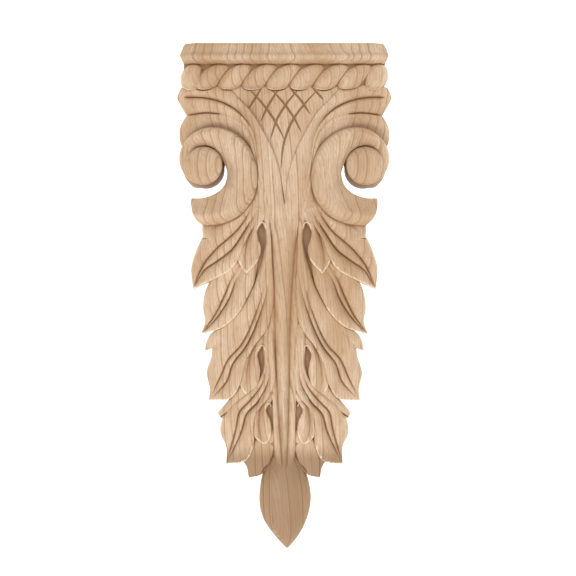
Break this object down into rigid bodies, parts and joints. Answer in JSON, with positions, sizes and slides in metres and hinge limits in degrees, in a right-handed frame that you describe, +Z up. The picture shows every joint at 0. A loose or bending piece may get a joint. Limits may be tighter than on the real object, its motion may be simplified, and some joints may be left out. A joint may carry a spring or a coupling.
{
  "type": "carved wood drop onlay",
  "caption": "Flat-backed carved hardwood drop ornament with a moulded rail, a rope band, scrolled arms and acanthus leaves ending in a bud, glued to furniture or walls.",
  "frame": {"origin": "on the flat back, on the line of the stem, at half the height", "axes": "+X across to the viewer's right, +Z up the piece towards the rail, +Y out of the flat back into the surface it is fixed to; the carved face looks to -Y"},
  "size_m": [0.1294, 0.024, 0.304],
  "materials": {
    "maple": "pale bare hardwood, sanded, unfinished, with thin brown growth lines"
  },
  "bodies": {
    "root": {"acanthus_drop": "maple"}
  },
  "joints": []
}
